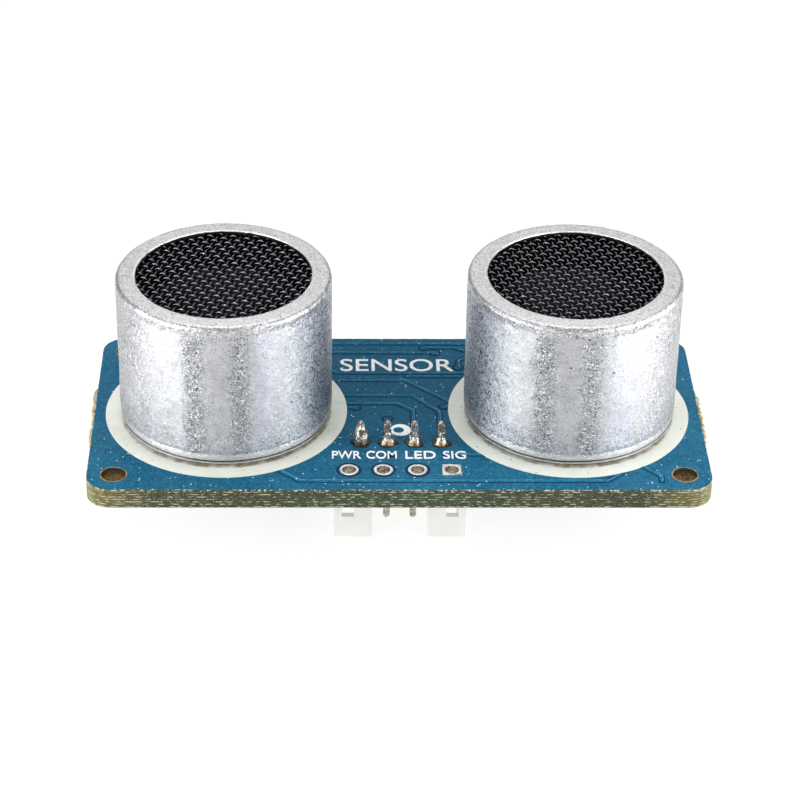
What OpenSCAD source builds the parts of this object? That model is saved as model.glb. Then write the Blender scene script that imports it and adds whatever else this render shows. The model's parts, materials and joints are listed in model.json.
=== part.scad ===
// Ultrasonic distance sensor: a small circuit board that carries a transmitter and a
// receiver transducer in aluminium cans, a four-pin plug header under its front edge,
// a row of unused header pads, and the electronics on its underside.
// Millimetres. +Z points out of the transducers, X runs along the board, and Y runs from
// the header side to the back. z = 0 is the board's underside, at the centre of the
// mounting-hole pattern.

/* [Circuit board] */
// Length of the board
board_w = 46; // [46:0.5:50]
// Depth of the board
board_d = 21.4; // [21.4:0.2:24]
// Thickness of the board
board_t = 1.6; // [1.2:0.2:2]
// Radius of the board's corners
corner_r = 1.8; // [1:0.1:2.2]
// Distance between mounting holes along the board
hole_pitch_x = 42; // [41.6:0.1:42.4]
// Distance between mounting holes across the board
hole_pitch_y = 17.4; // [17.2:0.1:17.8]
// Diameter of the mounting holes
hole_d = 1.8; // [1.6:0.1:2]
// Length of the snapped tab on each end of the board
tab_len = 6.6; // [4:0.2:7]

/* [Transducers] */
// Distance between the two transducers
eye_pitch = 26; // [25.6:0.1:26.4]
// Outer diameter of a can
can_d = 16; // [15.6:0.1:16.2]
// Height of a can's rim over the board
rim_h = 12; // [11:0.1:14]
// Wall of a can
can_wall = 0.6; // [0.4:0.1:0.8]
// Width of the flat rim around the mesh
rim_w = 1.5; // [1:0.1:2]
// Gap between a can's lower edge and the board
can_gap = 0.36; // [0.3:0.02:0.6]
// Distance between a transducer's two terminals
terminal_pitch = 10; // [9.6:0.1:10.2]

/* [Connector] */
// Distance between contact pins
contact_pitch = 2; // [2:0.1:2.1]
// Width of the header housing
header_w = 10; // [9.8:0.1:10.4]
// Depth of the header housing
header_d = 4.5; // [4.3:0.1:4.7]
// Height of the header housing
header_h = 6; // [5.8:0.1:6.4]
// Y position of the contact pins
contact_y = -4.43; // [-4.6:0.01:-4.4]

/* [Header pads] */
// Distance between the unused header pads
pad_pitch = 2.54; // [2.5:0.01:2.56]
// Y position of the pads
pad_y = -8.1; // [-8.2:0.05:-8]

/* [Hidden] */
$fn = 48;
eps = 0.01;
cut = 1; // how far a cutting tool runs past the face that it opens

// snapped tabs
tab_y = -0.4;
tab_out = 0.35;
tab_bite_r = 0.32;

// heights on the transducers
top_z = board_t;
print_t = 0.05;
rim_z = top_z + rim_h;
can_z = top_z + can_gap;
can_r = can_d / 2;
can_edge_r = 0.4;
can_foot_r = can_wall;
rim_t = 0.5;
screen_t = 0.25;
wall_clear = 0.05;
inner_r = can_r - can_wall;
base_z = top_z + print_t;
base_t = 2;
base_top = base_z + base_t;
seat_in = 3.7;
seat_out = 4.7;
seat_h = 2.6;
glue_t = 0.4;
plate_z = base_top + seat_h + glue_t;
plate_t = 0.3;
plate_r = 5.25;
piezo_r = 3.3;
piezo_t = 0.4;
horn_r = 5.6;
horn_foot_r = 1.6;
horn_h = 4.2;
horn_t = 0.3;
terminal_r = 0.4;
terminal_hole_r = 0.5;
terminal_top = base_top + 0.8;
terminal_out = 1.1;
lead_r = 0.12;
eye_x = eye_pitch / 2;
disc_r = 9.15;
terminal_x = terminal_pitch / 2;

// contacts and pads
contact_x = 0.15;
contact_w = 0.5;
contact_up = 1.9;
contact_hole_r = 0.42;
contact_tip = 0.9;
header_front = 1.43;
header_wall = 0.6;
header_face = 0.55;
header_floor = 1.4;
front_gap = 4.15;
post_window_w = 0.95;
post_window_x = 3.95;
post_sill = 1.85;
pad_x = 0.05;
pad_r = 0.72;
pad_hole_r = 0.5;
pad_wall = 0.17;

// electronics under the board
stand_off = 0.1;
chip_t = 1.4;
chip_half = 1.95;
lead_half = 3;
lead_w = 0.4;
lead_t = 0.2;
lead_pitch = 1.27;
led_ring_r = 7.4;
led_w = 3.2;
led_d = 2.8;
led_t = 1.1;
led_lens_r = 1;
led_lens_t = 0.5;
led_angles = [30, 150, 270];
led_spots = [
    for (s = [-1, 1]) for (a = led_angles)
        [s * eye_x + led_ring_r * cos(a), led_ring_r * sin(a)]
];
led_tab_l = 0.9;
led_tab_w = 0.75;
led_tab_y = 0.75;
controller_at = [0, 4.7];
controller_l = 9.9;
amplifier_at = [eye_x, 0];
amplifier_l = 8.65;
driver_at = [-eye_x, 0];
driver_l = 4.9;
crystal_at = [-6.9, 7.9];
crystal_size = [3.2, 2.5, 0.5];
crystal_lid_size = [2.8, 2.1, 0.25];
transistor_at = [7.2, 8.1];
transistor_size = [2.9, 1.3, 0.95];
transistor_pitch = 0.95;
bulk_at = [-13, -4.2];
bulk_size = [2.6, 1.4, 0.95];
bulk_end = 0.3;

// [x, y, turn] of each small part
resistors = [
    [-9.6, -5.6, 0], [-9.6, -7.2, 0], [-9.6, -8.8, 0], [9.4, -5.6, 0], [9.4, -7.2, 0],
    [9.4, -8.8, 0], [-17.4, -7.2, 90], [17.4, -7.2, 90], [-13, 8.6, 0], [13, 8.6, 0],
    [-21, -2.4, 90], [21, -2.4, 90]
];
capacitors = [
    [-6.9, -7.4, 90], [6.9, -7.4, 90], [-13, 6.8, 0], [13, 6.8, 0], [-10.2, 9.2, 90],
    [10.6, 9.2, 90], [4.7, 8.4, 90], [-16.8, 8.4, 90]
];
chip_l = 1.6;
chip_w = 0.8;
resistor_t = 0.45;
capacitor_t = 0.8;
chip_end = 0.3;

// ---- shared shapes ----

module ring(r_out, r_in, h) {
    difference() {
        cylinder(r = r_out, h = h);
        translate([0, 0, -cut]) cylinder(r = r_in, h = h + 2 * cut);
    }
}

module rounded_plate(w, d, r, t) {
    linear_extrude(t) union() {
        square([w - 2 * r, d], center = true);
        square([w, d - 2 * r], center = true);
        for (x = [-1, 1]) for (y = [-1, 1])
            translate([x * (w / 2 - r), y * (d / 2 - r)]) circle(r = r);
    }
}

// places children at both terminals of a transducer
module at_terminals() {
    for (s = [-1, 1]) translate([s * terminal_x, 0, 0]) children();
}

function contact_pos(i) = contact_x + (i - 2.5) * contact_pitch;
function pad_pos(i) = pad_x + (i - 2.5) * pad_pitch;
function arc(cx, cy, r, a0, a1, n) = [
    for (i = [0:n]) let (a = a0 + (a1 - a0) * i / n) [cx + r * cos(a), cy + r * sin(a)]
];

// ---- circuit board ----

// what is left of a break-off tab, with its half-cut perforations
module tab_stub(side) {
    bites = 7;
    translate([side * board_w / 2, tab_y, 0]) difference() {
        translate([0, 0, board_t / 2]) cube([2 * tab_out, tab_len, board_t], center = true);
        for (i = [1:bites])
            translate([side * tab_out, (i - (bites + 1) / 2) * tab_len / bites, -cut])
                cylinder(r = tab_bite_r, h = board_t + 2 * cut, $fn = 24);
    }
}

module circuit_board() {
    color("steelblue") difference() {
        union() {
            rounded_plate(board_w, board_d, corner_r, board_t);
            for (side = [-1, 1]) tab_stub(side);
        }
        for (x = [-1, 1]) for (y = [-1, 1])
            translate([x * hole_pitch_x / 2, y * hole_pitch_y / 2, -cut])
                cylinder(d = hole_d, h = board_t + 2 * cut);
        for (i = [1:4]) {
            translate([pad_pos(i), pad_y, -cut])
                cylinder(r = pad_hole_r + pad_wall, h = board_t + 2 * cut);
            translate([contact_pos(i), contact_y, -cut])
                cylinder(r = contact_hole_r, h = board_t + 2 * cut);
        }
        for (s = [-1, 1]) translate([s * eye_x, 0, -cut]) at_terminals()
            cylinder(r = terminal_hole_r, h = board_t + 2 * cut);
    }
}

// printed pale disc that the lights glow through
module light_disc(side) {
    color([0.89, 0.90, 0.86]) translate([side * eye_x, 0, top_z]) difference() {
        cylinder(r = disc_r, h = print_t, $fn = 96);
        at_terminals() translate([0, 0, -cut]) cylinder(r = terminal_hole_r, h = print_t + 2 * cut);
    }
}

module eyelet(square_top) {
    flange_t = 0.05;
    difference() {
        union() {
            translate([0, 0, -flange_t]) cylinder(r = pad_hole_r + pad_wall, h = board_t + 2 * flange_t);
            translate([0, 0, -flange_t]) cylinder(r = pad_r, h = flange_t);
            if (square_top)
                translate([-pad_r, -pad_r, board_t]) cube([2 * pad_r, 2 * pad_r, flange_t]);
            else
                translate([0, 0, board_t]) cylinder(r = pad_r, h = flange_t);
        }
        translate([0, 0, -cut]) cylinder(r = pad_hole_r, h = board_t + 2 * cut);
    }
}

module header_pads() {
    color("silver") for (i = [1:4]) translate([pad_pos(i), pad_y, 0]) eyelet(i == 4);
}

// ---- transducers ----

// drawn aluminium cup, open below, turned in at the top to hold the screen
module can(side) {
    outline = concat(
        arc(can_r - can_foot_r, can_z + can_foot_r, can_foot_r, -90, 0, 5),
        arc(can_r - can_edge_r, rim_z - can_edge_r, can_edge_r, 0, 90, 4),
        [[can_r - rim_w, rim_z], [can_r - rim_w, rim_z - rim_t], [inner_r, rim_z - rim_t]]
    );
    color([0.78, 0.79, 0.80]) translate([side * eye_x, 0, 0]) rotate_extrude($fn = 96) polygon(outline);
}

module screen(side) {
    color([0.12, 0.12, 0.13]) translate([side * eye_x, 0, rim_z - rim_t - screen_t])
        cylinder(r = inner_r - wall_clear, h = screen_t, $fn = 96);
}

module horn(side) {
    z0 = plate_z + plate_t;
    color([0.75, 0.76, 0.78]) translate([side * eye_x, 0, z0]) rotate_extrude() polygon([
        [0, 0], [horn_foot_r, 0], [horn_r, horn_h - horn_t], [horn_r, horn_h],
        [horn_r - horn_t, horn_h], [horn_foot_r - horn_t / 2, horn_t], [0, horn_t]
    ]);
}

module vibrating_plate(side) {
    color([0.72, 0.66, 0.45]) translate([side * eye_x, 0, plate_z]) cylinder(r = plate_r, h = plate_t);
}

module piezo(side) {
    color([0.85, 0.82, 0.74]) translate([side * eye_x, 0, plate_z - piezo_t])
        cylinder(r = piezo_r, h = piezo_t);
}

module adhesive(side) {
    color([0.9, 0.9, 0.9]) translate([side * eye_x, 0, base_top + seat_h])
        ring(seat_out + 0.1, seat_in - 0.1, glue_t);
}

// moulded base with the raised ring that the plate is glued to
module base(side) {
    slot_w = 1.2;
    color([0.16, 0.13, 0.11]) translate([side * eye_x, 0, 0]) difference() {
        union() {
            translate([0, 0, base_z]) cylinder(r = inner_r - wall_clear, h = base_t, $fn = 96);
            translate([0, 0, base_top]) ring(seat_out, seat_in, seat_h);
        }
        at_terminals() translate([0, 0, base_z - cut]) cylinder(r = terminal_r, h = base_t + 2 * cut);
        translate([0, -slot_w / 2, base_top]) cube([seat_out + cut, slot_w, seat_h + cut]);
    }
}

// one wire to the ceramic disc, through the slot in the ring, and one to the plate
module leads(side) {
    run_z = terminal_top + 0.6;
    run_x = 1.8;
    $fn = 16;
    color("firebrick") translate([side * eye_x, 0, 0]) {
        union() {
            translate([terminal_x, 0, terminal_top]) cylinder(r = lead_r, h = run_z - terminal_top);
            for (x = [run_x, terminal_x]) translate([x, 0, run_z]) sphere(r = lead_r);
            translate([run_x, 0, run_z]) rotate([0, 90, 0]) cylinder(r = lead_r, h = terminal_x - run_x);
            translate([run_x, 0, run_z]) cylinder(r = lead_r, h = plate_z - piezo_t - run_z);
        }
        translate([-terminal_x, 0, terminal_top]) cylinder(r = lead_r, h = plate_z - terminal_top);
    }
}

module terminal_pins(side) {
    color("silver") translate([side * eye_x, 0, -terminal_out]) at_terminals()
        cylinder(r = terminal_r, h = terminal_top + terminal_out);
}

// solder fillet around a terminal, under the board
module terminal_joints(side) {
    joint_h = 0.85;
    joint_r = 1.05;
    color("lightgray") translate([side * eye_x, 0, 0]) at_terminals() rotate_extrude() polygon([
        [terminal_r, 0], [joint_r, 0], [joint_r - 0.2, -0.15], [terminal_r + 0.25, -0.4],
        [terminal_r + 0.1, -joint_h], [terminal_r, -joint_h]
    ]);
}

// ---- connector ----

// shrouded plug header that hangs under the board with its mouth down
module connector_housing() {
    y0 = contact_y - header_front;
    cavity_w = header_w - 2 * header_wall;
    cavity_d = header_d - 2 * header_face;
    cavity_h = header_h - header_floor;
    face_cut = header_face + 2 * cut;
    key_w = 0.7;
    key_h = 2.4;
    color([0.94, 0.94, 0.92]) translate([contact_x, y0, -header_h]) difference() {
        translate([-header_w / 2, 0, 0]) cube([header_w, header_d, header_h]);
        translate([-cavity_w / 2, header_face, -cut]) cube([cavity_w, cavity_d, cavity_h + cut]);
        translate([-front_gap / 2, -cut, -cut]) cube([front_gap, face_cut, cavity_h + cut]);
        for (s = [-1, 1]) {
            translate([s * post_window_x - post_window_w / 2, -cut, post_sill])
                cube([post_window_w, face_cut, cavity_h - post_sill]);
            translate([s * header_w / 2 - cut, (header_d - key_w) / 2, -cut])
                cube([2 * cut, key_w, key_h + cut]);
        }
        for (i = [1:4])
            translate([(i - 2.5) * contact_pitch - contact_w / 2, header_front - contact_w / 2, 0])
                cube([contact_w, contact_w, header_h + cut]);
    }
}

module contact_bar(grow, h) {
    w = contact_w + 2 * grow;
    translate([-w / 2, -w / 2, 0]) cube([w, w, h]);
}

// square pin, chamfered at both ends
module contact_pin(i) {
    z0 = -header_h + contact_tip;
    z1 = top_z + contact_up;
    chamfer = 0.15;
    tip_w = contact_w - 2 * chamfer;
    color("gainsboro") translate([contact_pos(i), contact_y, 0]) union() {
        translate([0, 0, z0 + 2 * chamfer]) contact_bar(0, z1 - z0 - 3 * chamfer);
        hull() {
            translate([-tip_w / 2, -tip_w / 2, z0]) cube([tip_w, tip_w, eps]);
            translate([0, 0, z0 + 2 * chamfer]) contact_bar(0, eps);
        }
        hull() {
            translate([-tip_w / 2, -tip_w / 2, z1 - eps]) cube([tip_w, tip_w, eps]);
            translate([0, 0, z1 - chamfer - eps]) contact_bar(0, eps);
        }
    }
}

// the first joint is a full cone that hides its pin, and the others are low fillets
module contact_joint(i) {
    full = [[0, 0], [0.76, 0], [0.7, 0.3], [0.5, 1.5], [0.4, 1.95], [0.2, 2.15], [0, 2.15]];
    low = [[0, 0], [0.78, 0], [0.7, 0.15], [0.52, 0.5], [0.42, 1.05], [0, 1.05]];
    color("silver") translate([contact_pos(i), contact_y, top_z]) difference() {
        rotate_extrude() polygon(i == 1 ? full : low);
        translate([0, 0, -cut]) contact_bar(0, cut + (i == 1 ? contact_up : 2 * cut));
    }
}

// ---- electronics on the underside ----

// moulded chip body: six-sided section, long along Y, with a dimple at lead 1
module chip_body(at, length) {
    draft = 0.12;
    dimple_r = 0.35;
    dimple_in = 0.75;
    dimple_deep = 0.1;
    mid = stand_off + chip_t / 2;
    low = stand_off + chip_t;
    color([0.12, 0.12, 0.13]) translate([at[0], at[1], 0]) difference() {
        translate([0, length / 2, 0]) rotate([90, 0, 0]) linear_extrude(length) polygon([
            [-chip_half + draft, -stand_off], [-chip_half, -mid], [-chip_half + draft, -low],
            [chip_half - draft, -low], [chip_half, -mid], [chip_half - draft, -stand_off]
        ]);
        translate([-chip_half + dimple_in, length / 2 - dimple_in, -low - cut])
            cylinder(r = dimple_r, h = cut + dimple_deep);
    }
}

// gull-wing leads along both long sides of a chip
module chip_leads(at, per_side) {
    mid = stand_off + chip_t / 2;
    knee = chip_half + 0.45;
    slant = 0.12;
    lead_outline = [
        [chip_half, -mid + lead_t / 2], [knee - lead_t, -mid + lead_t / 2], [knee, 0],
        [lead_half, 0], [lead_half, -lead_t], [knee + slant, -lead_t],
        [knee - slant / 2, -mid - lead_t / 2], [chip_half, -mid - lead_t / 2]
    ];
    color("silver") translate([at[0], at[1], 0])
        for (s = [0, 1]) mirror([s, 0, 0]) for (i = [1:per_side])
            translate([0, (i - (per_side + 1) / 2) * lead_pitch + lead_w / 2, 0]) rotate([90, 0, 0])
                linear_extrude(lead_w) polygon(lead_outline);
}

// a block hanging under the board, centred on a point, with its near face `from` below the board
module hung_block(at, size, from = 0) {
    translate([at[0] - size[0] / 2, at[1] - size[1] / 2, -from - size[2]]) cube(size);
}

module crystal_base() {
    color([0.75, 0.68, 0.5]) hung_block(crystal_at, crystal_size);
}

module crystal_lid() {
    lid = crystal_lid_size;
    lid_corner_r = 0.35;
    color("silver") translate([crystal_at[0], crystal_at[1], -crystal_size[2] - lid[2]])
        rounded_plate(lid[0], lid[1], lid_corner_r, lid[2]);
}

// lamp body against the board, with a pocket for the lens that shines up through it
module led_housing(n) {
    at = led_spots[n - 1];
    color([0.93, 0.93, 0.9]) difference() {
        hung_block(at, [led_w, led_d, led_t]);
        translate([at[0], at[1], -led_lens_t]) cylinder(r = led_lens_r, h = led_lens_t + cut);
    }
}

module led_lenses() {
    color([0.95, 0.9, 0.6, 0.6]) for (at = led_spots) translate([at[0], at[1], -led_lens_t])
        cylinder(r = led_lens_r, h = led_lens_t);
}

module led_terminals() {
    color("silver") for (at = led_spots) for (x = [-1, 1]) for (y = [-1, 1])
        hung_block(
            [at[0] + x * (led_w + led_tab_l) / 2, at[1] + y * led_tab_y],
            [led_tab_l, led_tab_w, lead_t]
        );
}

module chip_part_bodies(list, t, tint) {
    color(tint) for (c = list) translate([c[0], c[1], -t]) rotate([0, 0, c[2]])
        translate([-chip_l / 2 + chip_end, -chip_w / 2, 0]) cube([chip_l - 2 * chip_end, chip_w, t]);
}

module chip_part_ends(list, t) {
    color("silver") for (c = list) translate([c[0], c[1], -t]) rotate([0, 0, c[2]]) for (s = [0, 1])
        mirror([s, 0, 0]) translate([chip_l / 2 - chip_end, -chip_w / 2, 0]) cube([chip_end, chip_w, t]);
}

module transistor_body() {
    color([0.12, 0.12, 0.13]) hung_block(transistor_at, transistor_size, stand_off);
}

// three leads of a small transistor: two on one side and one on the other
module transistor_leads() {
    foot = [[0, -0.65], [0.2, -0.65], [0.3, -0.2], [0.65, -0.2], [0.65, 0], [0.15, 0], [0, -0.45]];
    spots = [[-transistor_pitch, 0], [transistor_pitch, 0], [0, 1]];
    color("silver") translate([transistor_at[0], transistor_at[1], 0]) for (p = spots)
        mirror([0, p[1], 0]) translate([p[0] - lead_w / 2, transistor_size[1] / 2, 0])
            rotate([90, 0, 90]) linear_extrude(lead_w) polygon(foot);
}

module bulk_capacitor() {
    color([0.85, 0.62, 0.2]) hung_block(bulk_at, bulk_size);
}

module bulk_capacitor_ends() {
    end = [bulk_end, bulk_size[1], bulk_size[2]];
    color("silver") for (s = [-1, 1])
        hung_block([bulk_at[0] + s * (bulk_size[0] + bulk_end) / 2, bulk_at[1]], end);
}

// ---- assembly ----

circuit_board();
light_disc(-1);  // light_disc_left
light_disc(1);  // light_disc_right
header_pads();
can(-1);  // transmitter_can
screen(-1);  // transmitter_screen
horn(-1);  // transmitter_horn
vibrating_plate(-1);  // transmitter_plate
piezo(-1);  // transmitter_piezo
adhesive(-1);  // transmitter_adhesive
base(-1);  // transmitter_base
leads(-1);  // transmitter_leads
terminal_pins(-1);  // transmitter_pins
terminal_joints(-1);  // transmitter_joints
can(1);  // receiver_can
screen(1);  // receiver_screen
horn(1);  // receiver_horn
vibrating_plate(1);  // receiver_plate
piezo(1);  // receiver_piezo
adhesive(1);  // receiver_adhesive
base(1);  // receiver_base
leads(1);  // receiver_leads
terminal_pins(1);  // receiver_pins
terminal_joints(1);  // receiver_joints
connector_housing();
for (i = [1:4]) {
    contact_pin(i);
    contact_joint(i);
}
chip_body(controller_at, controller_l);  // controller_body
chip_leads(controller_at, 8);  // controller_leads
chip_body(amplifier_at, amplifier_l);  // amplifier_body
chip_leads(amplifier_at, 7);  // amplifier_leads
chip_body(driver_at, driver_l);  // driver_body
chip_leads(driver_at, 4);  // driver_leads
crystal_base();
crystal_lid();
for (n = [1:6]) {
    led_housing(n);
}
led_lenses();
led_terminals();
chip_part_bodies(resistors, resistor_t, [0.1, 0.1, 0.12]);  // resistor_bodies
chip_part_ends(resistors, resistor_t);  // resistor_ends
chip_part_bodies(capacitors, capacitor_t, "tan");  // capacitor_bodies
chip_part_ends(capacitors, capacitor_t);  // capacitor_ends
transistor_body();
transistor_leads();
bulk_capacitor();
bulk_capacitor_ends();
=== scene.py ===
"""Looks for an ultrasonic distance sensor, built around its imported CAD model.

Lengths are millimetres times MM, and plain millimetres inside a material. X runs along the board,
+Y is its back edge and +Z is the way the two transducers look.
"""

import json
import math
import random

import bmesh
import bpy
from mathutils import Matrix, Vector, noise


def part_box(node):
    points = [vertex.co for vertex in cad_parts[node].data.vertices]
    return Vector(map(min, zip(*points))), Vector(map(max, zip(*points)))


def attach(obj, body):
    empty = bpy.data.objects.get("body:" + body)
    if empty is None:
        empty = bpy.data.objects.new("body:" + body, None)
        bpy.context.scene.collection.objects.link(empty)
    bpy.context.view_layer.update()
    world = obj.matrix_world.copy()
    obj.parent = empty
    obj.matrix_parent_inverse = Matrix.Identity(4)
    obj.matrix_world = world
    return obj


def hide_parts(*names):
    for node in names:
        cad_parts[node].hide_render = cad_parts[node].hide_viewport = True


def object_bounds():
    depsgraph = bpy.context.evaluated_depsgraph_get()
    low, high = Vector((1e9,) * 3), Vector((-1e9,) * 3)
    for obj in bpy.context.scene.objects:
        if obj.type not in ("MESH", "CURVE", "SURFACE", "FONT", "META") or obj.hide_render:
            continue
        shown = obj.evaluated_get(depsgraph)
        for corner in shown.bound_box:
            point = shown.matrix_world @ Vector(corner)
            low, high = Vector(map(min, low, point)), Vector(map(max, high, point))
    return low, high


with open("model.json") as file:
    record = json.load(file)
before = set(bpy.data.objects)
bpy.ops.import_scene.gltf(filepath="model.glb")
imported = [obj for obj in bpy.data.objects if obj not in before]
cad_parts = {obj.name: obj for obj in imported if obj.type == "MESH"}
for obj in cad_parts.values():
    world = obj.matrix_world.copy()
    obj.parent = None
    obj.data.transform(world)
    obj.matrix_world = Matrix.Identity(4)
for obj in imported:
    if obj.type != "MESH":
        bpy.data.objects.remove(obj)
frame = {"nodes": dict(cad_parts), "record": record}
cad_low, cad_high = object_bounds()

MM = 0.001
BODY = "root"
MOUNTS = {mount["name"]: mount for mount in frame["record"]["mounts"]}
EYES = ("transmitter", "receiver")

# ---- places taken from the frame ----

BOARD_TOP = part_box("circuit_board")[1].z
BOARD_HALF_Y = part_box("circuit_board")[1].y
TAB_OUT = 0.35 * MM
BOARD_HALF_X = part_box("circuit_board")[1].x - TAB_OUT
CORNER_R = 1.8 * MM
TAB_Y = (-3.7 * MM, 2.9 * MM)

HOLES = MOUNTS["mounting_holes"]["dims"]
HOLE_R = HOLES["hole_r_mm"] * MM
HOLE_AT = [
    (sx * HOLES["spacing_x_mm"] * MM / 2, sy * HOLES["spacing_y_mm"] * MM / 2)
    for sx in (-1, 1) for sy in (-1, 1)
]
PAD_AT = [tuple(MOUNTS[f"pad_hole_{i}"]["pos_m"][:2]) for i in range(1, 5)]
PAD_HOLE_R = MOUNTS["pad_hole_1"]["dims"]["r_mm"] * MM


def middle(node):
    low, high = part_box(node)
    return (low + high) / 2


def size(node):
    low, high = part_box(node)
    return high - low


CONTACT_AT = [tuple(middle(f"contact_pin_{i}").xy) for i in range(1, 5)]
CAN_OUT = middle("receiver_can").x
CAN_RADIUS = size("receiver_can").x / 2
CAN_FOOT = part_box("receiver_can")[0].z
CAN_OPENING = 6.5 * MM
CAN_INNER = 7.4 * MM
SCREEN_LIFT = 0.2 * MM
SCREEN_Z = middle("receiver_screen").z + SCREEN_LIFT
TERMINAL_R = size("transmitter_pins").y / 2
TERMINAL_AT = [
    (x, 0.0)
    for eye in EYES
    for x in (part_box(f"{eye}_pins")[0].x + TERMINAL_R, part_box(f"{eye}_pins")[1].x - TERMINAL_R)
]


# ---- materials ----

def srgb(red, green, blue):
    """A colour as seen on screen, 0 to 255, as the linear colour a shader takes."""
    return tuple(
        c / 255 / 12.92 if c <= 10 else ((c / 255 + 0.055) / 1.055) ** 2.4
        for c in (red, green, blue)
    ) + (1.0,)


class Finish:
    """One node material under construction. Every length in it is in millimetres."""

    def __init__(self, name, **sockets):
        self.material = bpy.data.materials.new(name)
        self.material.use_nodes = True
        self.tree = self.material.node_tree
        self.shader = self.tree.nodes["Principled BSDF"]
        for socket, value in sockets.items():
            self.shader.inputs[socket.replace("_", " ")].default_value = value
        self.place = self.node("ShaderNodeTexCoord", "Object")

    def node(self, kind, output, inputs=None, **settings):
        """Adds a node with these inputs and settings, and gives one of its outputs."""
        made = self.tree.nodes.new(kind)
        for key, value in settings.items():
            setattr(made, key, value)
        for key, value in (inputs or {}).items():
            self.feed(made.inputs[key], value)
        return made.outputs[output]

    def feed(self, socket, value):
        """Links an input to another node's output, or sets it to a number or a colour.

        A tuple of three is a colour as seen on screen, and one of four is a linear colour.
        """
        if isinstance(value, bpy.types.NodeSocket):
            self.tree.links.new(value, socket)
        elif isinstance(value, tuple) and len(value) == 3:
            socket.default_value = srgb(*value)
        elif value is not None:
            socket.default_value = value

    def drive(self, socket, value):
        self.feed(self.shader.inputs[socket], value)

    def stretched(self, stretch=(1, 1, 1)):
        """Object coordinates in millimetres, pulled out along the axes with a large factor."""
        scale = [1 / (MM * s) for s in stretch]
        return self.node("ShaderNodeMapping", "Vector", {"Vector": self.place, "Scale": scale})

    def axis(self, name):
        return self.node("ShaderNodeSeparateXYZ", name, {"Vector": self.stretched()})

    def noise(self, grain, detail=3.0, rough=0.55, twist=0.0, stretch=(1, 1, 1)):
        inputs = {"Vector": self.stretched(stretch), "Scale": 1 / grain, "Detail": detail}
        inputs.update({"Roughness": rough, "Distortion": twist})
        return self.node("ShaderNodeTexNoise", "Fac", inputs)

    def remap(self, value, low, high, to_low=0.0, to_high=1.0):
        """Turns the span low..high of a value into to_low..to_high, clamped."""
        inputs = dict(enumerate((value, low, high, to_low, to_high)))
        return self.node("ShaderNodeMapRange", "Result", inputs)

    def math(self, operation, first, second=0.0):
        return self.node("ShaderNodeMath", "Value", {0: first, 1: second}, operation=operation)

    def times(self, first, *others):
        for other in others:
            first = self.math("MULTIPLY", first, other)
        return first

    def off(self, value, centre=0.0):
        """How far a value is from a centre, either way."""
        return self.math("ABSOLUTE", self.math("SUBTRACT", value, centre))

    def mix(self, factor, first, second):
        """Blends two colours."""
        return self.node("ShaderNodeMix", 2, {0: factor, 6: first, 7: second}, data_type="RGBA")

    def over(self, base, *layers):
        """Lays layers over a base colour. Each is a colour and the factors of its strength."""
        for colour, *strength in layers:
            base = self.mix(self.times(*strength), base, colour)
        return base

    def cloud(self, grain, detail=5):
        """Soft patches from 0 to 1."""
        return self.remap(self.noise(grain, detail), 0.35, 0.65)

    def specks(self, grain, rim, core, patch, sparse, more=0.0):
        """Round dots from 0 at a cell's rim to 1 at its core, where a coarser noise is high."""
        cells = {"Vector": self.stretched(), "Scale": 1 / grain}
        dots = self.remap(self.node("ShaderNodeTexVoronoi", "Distance", cells), rim, core)
        return self.times(dots, self.remap(self.math("ADD", self.noise(patch, 1), more), *sparse))

    def bump(self, height, depth, under=None, strength=1.0):
        """Relief of the given depth, laid over another relief if one is given."""
        inputs = {"Strength": strength, "Distance": depth * MM, "Height": height, "Normal": under}
        return self.node("ShaderNodeBump", "Normal", inputs)

    def shine(self, grain, low, high, detail=3.0):
        """Roughness that wanders between two values."""
        self.drive("Roughness", self.remap(self.noise(grain, detail), 0.3, 0.7, low, high))

    def grit(self, grain, depth, detail=3.0, under=None):
        """Fine relief over the whole surface."""
        self.drive("Normal", self.bump(self.noise(grain, detail), depth, under))


def finish(name, dark, light, patch, gloss, grain, depth, **sockets):
    """A material that drifts between two colours in patches, with a roughness range and a grain."""
    f = Finish(name, **sockets)
    f.drive("Base Color", f.mix(f.cloud(patch), dark, light))
    f.shine(patch / 2, *gloss)
    f.grit(grain, depth, 4)
    return f.material


def mask_finish(name, lift=0):
    """Blue solder mask: satin, faintly rippled, dusty, and darkened between and behind the cans as painted
    shade.
    """
    f = Finish(name, Specular_IOR_Level=0.06)
    # painted shade: the mask darkens between the two cans and towards the back
    inside = f.remap(f.off(f.axis("X")), 10.5, 6.5)
    behind = f.remap(f.axis("Y"), -6.2, -4.6)
    fine = f.remap(f.noise(0.24, 5, rough=0.75), 0.42, 0.58)
    pale = f.remap(f.noise(0.2, 4, rough=0.7, twist=1.0), 0.56, 0.68)
    front = f.remap(f.axis("Y"), -7.5, -10.2, 0.0, 0.04)
    f.drive("Base Color", f.over(
        f.mix(f.cloud(7, 4), (24, 94 + lift, 124 + lift), (36, 110 + lift, 140 + lift)),
        ((8, 87 + lift, 116 + lift), inside, behind, 0.7),
        ((6, 58, 92), fine, 0.56),
        ((80, 154, 184), pale, 0.5),
        ((222, 238, 242), f.specks(0.36, 0.17, 0.11, 0.8, (0.54, 0.59), front)),
    ))
    f.shine(1.4, 0.3, 0.44, 5)
    f.grit(0.16, 0.006, under=f.bump(f.noise(0.9, 2), 0.012))
    return f.material


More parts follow.
